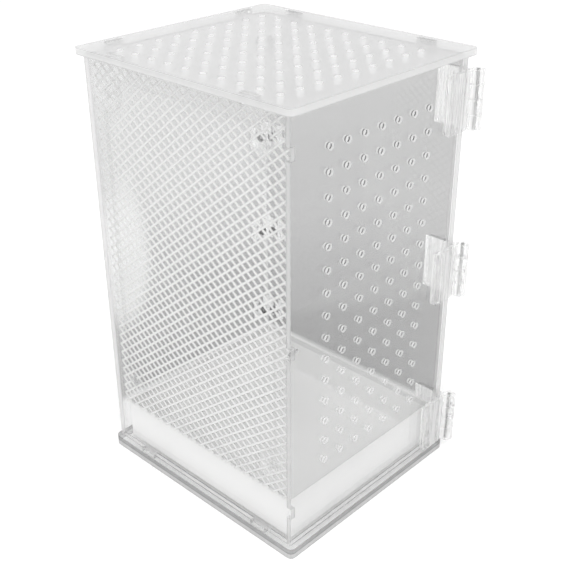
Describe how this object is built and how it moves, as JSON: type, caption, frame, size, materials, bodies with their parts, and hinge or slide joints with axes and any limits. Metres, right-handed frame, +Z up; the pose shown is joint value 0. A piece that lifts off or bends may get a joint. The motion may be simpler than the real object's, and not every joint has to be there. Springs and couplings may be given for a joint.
{
  "type": "clear insect cage",
  "caption": "Tall clear acrylic insect cage with a perforated hinged door, a netted side, a vented lid and a lift-out white tray.",
  "frame": {"origin": "centre of the underside of the lower base plate, which is what the cage stands on", "axes": "+Z up; the door faces -Y; the netting faces -X; the hinges are on the front right edge (+X, -Y)"},
  "size_m": [0.1577, 0.1727, 0.275],
  "materials": {
    "clear_sheet": "clear polished acrylic sheet",
    "clear_moulding": "clear moulded acrylic",
    "white_netting": "white extruded netting",
    "white_tray": "satin white moulded plastic",
    "steel": "satin stainless steel",
    "nickel_plate": "bright nickel plate"
  },
  "bodies": {
    "cage": {"base_plate_lower": "clear_sheet", "base_plate_upper": "clear_sheet", "lid_plate": "clear_sheet", "back_panel": "clear_sheet", "right_panel": "clear_sheet", "netting_side_frame": "clear_sheet", "netting_outer_strands": "white_netting", "netting_inner_strands": "white_netting", "netting_rivets": "clear_moulding", "netting_rivet_caps": "clear_moulding", "corner_brackets": "clear_moulding", "corner_screws": "clear_moulding", "corner_nuts": "steel", "side_magnet": "nickel_plate", "frame_leaf_top": "clear_moulding", "frame_leaf_middle": "clear_moulding", "frame_leaf_bottom": "clear_moulding", "hinge_pin_top": "steel", "hinge_pin_middle": "steel", "hinge_pin_bottom": "steel"},
    "door": {"door_panel": "clear_sheet", "door_magnet": "nickel_plate", "door_leaf_top": "clear_moulding", "door_leaf_middle": "clear_moulding", "door_leaf_bottom": "clear_moulding"},
    "tray": {"tray": "white_tray"}
  },
  "joints": [
    {"name": "door_swing", "type": "hinge", "parent": "cage", "child": "door", "pos_m": [0.0769, -0.0844, 0.13], "axis": [0, 0, 1], "range_deg": [0, 265]},
    {"name": "tray_lift", "type": "slide", "parent": "cage", "child": "tray", "axis": [0, 0, 1], "range_m": [0, 0.01]}
  ]
}
